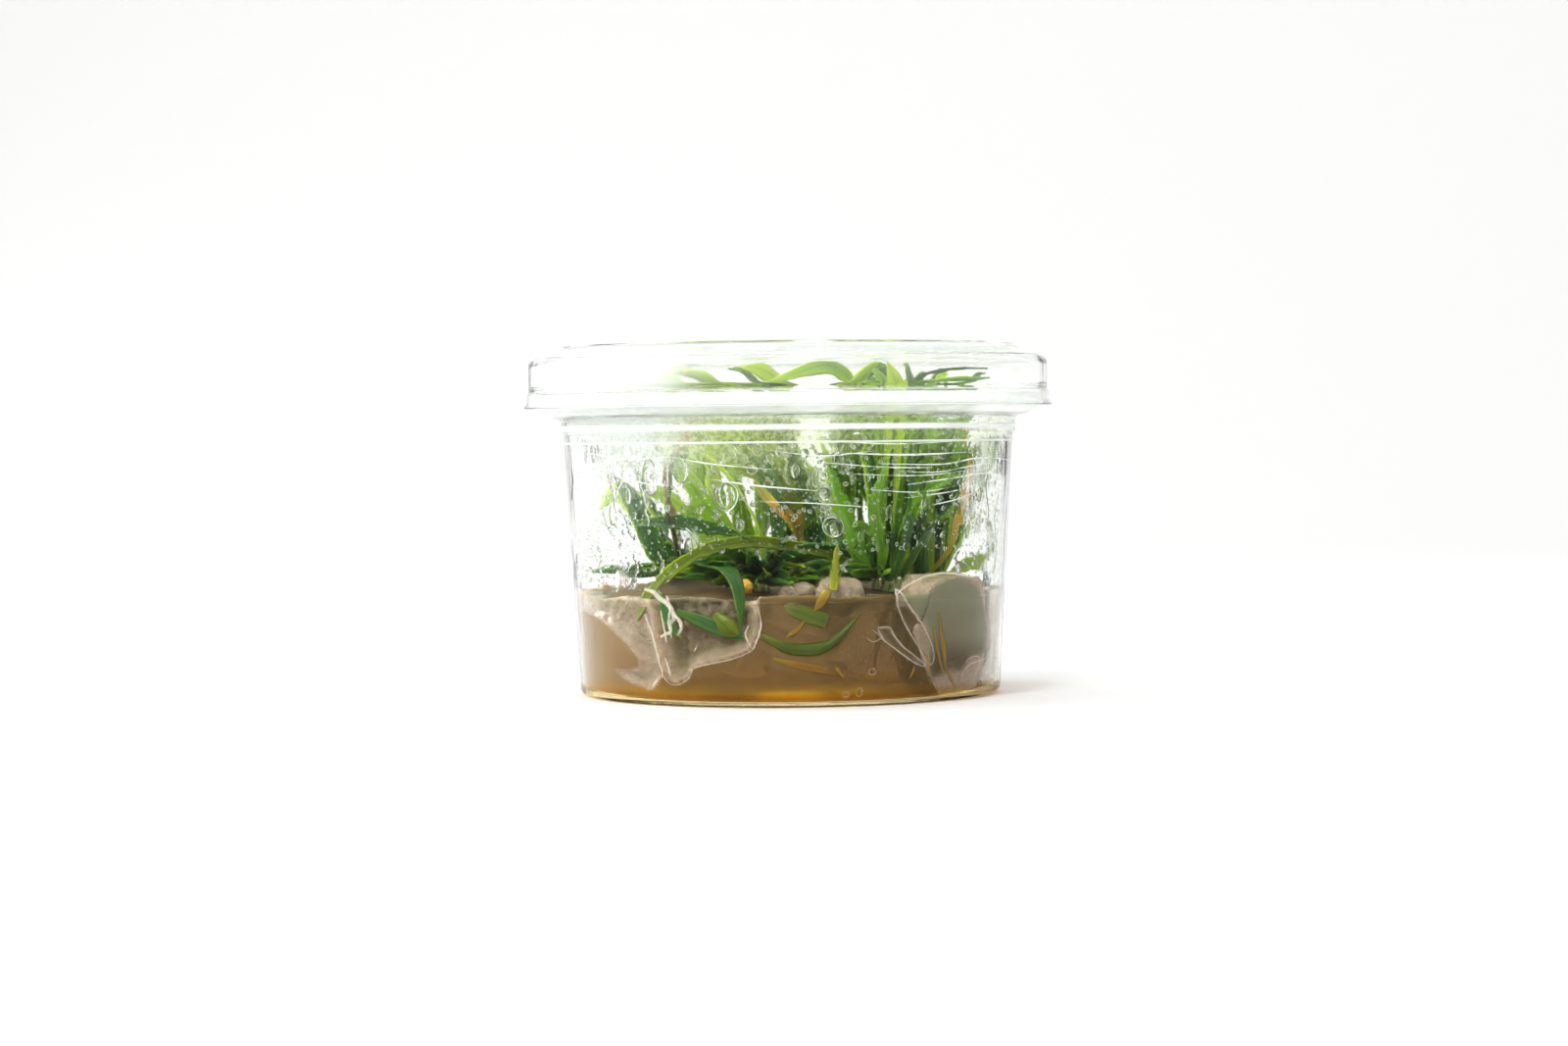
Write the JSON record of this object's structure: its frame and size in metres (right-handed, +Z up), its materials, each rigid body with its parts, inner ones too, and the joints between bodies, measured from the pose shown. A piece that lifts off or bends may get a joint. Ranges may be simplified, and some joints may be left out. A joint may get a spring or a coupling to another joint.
{
  "type": "tissue culture cup of helanthium plants",
  "caption": "Clear round lidded cup holding brown agar gel with rosettes of narrow twisted green strap leaves that fill it up to the lid.",
  "frame": {"origin": "on the table under the middle of the cup's foot ring", "axes": "+Z up through the lid, -Y towards the front that the picture shows, +X to its right"},
  "size_m": [0.101, 0.101, 0.0664],
  "materials": {
    "clear_cup": "clear, finely scratched, with condensation inside",
    "clear_lid": "clear, slightly hazy",
    "agar_gel": "cloudy brown jelly",
    "crown": "matte plant tissue with pale roots",
    "leaf_fresh": "satin leaf, fresh green",
    "leaf_pale": "satin leaf, pale yellow-green",
    "leaf_deep": "satin leaf, deep green",
    "leaf_olive": "satin leaf, olive",
    "leaf_orange": "dying leaf, orange-yellow",
    "leaf_brown": "dead leaf, brown"
  },
  "bodies": {
    "root": {"cup": "clear_cup", "lid": "clear_lid", "gel_bed": "agar_gel", "gel_lump_right": "agar_gel", "gel_lump_front": "agar_gel", "gel_lump_small": "agar_gel", "yellow_bud": "leaf_orange", "crown_front_right": "crown", "crown_right": "crown", "crown_centre": "crown", "crown_left": "crown", "crown_middle": "crown", "crown_back_left": "crown", "crown_back_right": "crown", "leaf_front_right_1": "leaf_fresh", "leaf_front_right_2": "leaf_fresh", "leaf_front_right_3": "leaf_pale", "leaf_front_right_4": "leaf_deep", "leaf_front_right_5": "leaf_fresh", "leaf_front_right_6": "leaf_deep", "leaf_front_right_7": "leaf_olive", "leaf_right_1": "leaf_orange", "leaf_right_2": "leaf_fresh", "leaf_right_3": "leaf_pale", "leaf_right_4": "leaf_deep", "leaf_right_5": "leaf_deep", "leaf_right_6": "leaf_deep", "leaf_right_7": "leaf_fresh", "leaf_centre_1": "leaf_deep", "leaf_centre_2": "leaf_fresh", "leaf_centre_3": "leaf_fresh", "leaf_centre_4": "leaf_deep", "leaf_centre_5": "leaf_pale", "leaf_left_1": "leaf_deep", "leaf_left_2": "leaf_pale", "leaf_left_3": "leaf_brown", "leaf_left_4": "leaf_fresh", "leaf_left_5": "leaf_fresh", "leaf_left_6": "leaf_deep", "leaf_middle_1": "leaf_orange", "leaf_middle_2": "leaf_fresh", "leaf_middle_3": "leaf_fresh", "leaf_middle_4": "leaf_pale", "leaf_middle_5": "leaf_fresh", "leaf_middle_6": "leaf_deep", "leaf_middle_7": "leaf_deep", "leaf_back_left_1": "leaf_deep", "leaf_back_left_2": "leaf_fresh", "leaf_back_left_3": "leaf_fresh", "leaf_back_left_4": "leaf_pale", "leaf_back_left_5": "leaf_deep", "leaf_back_left_6": "leaf_deep", "leaf_back_right_1": "leaf_deep", "leaf_back_right_2": "leaf_fresh", "leaf_back_right_3": "leaf_deep", "leaf_back_right_4": "leaf_fresh", "leaf_back_right_5": "leaf_fresh", "wall_leaf_green": "leaf_fresh", "wall_leaf_yellow": "leaf_orange", "wall_leaf_stub": "leaf_pale"}
  },
  "joints": []
}
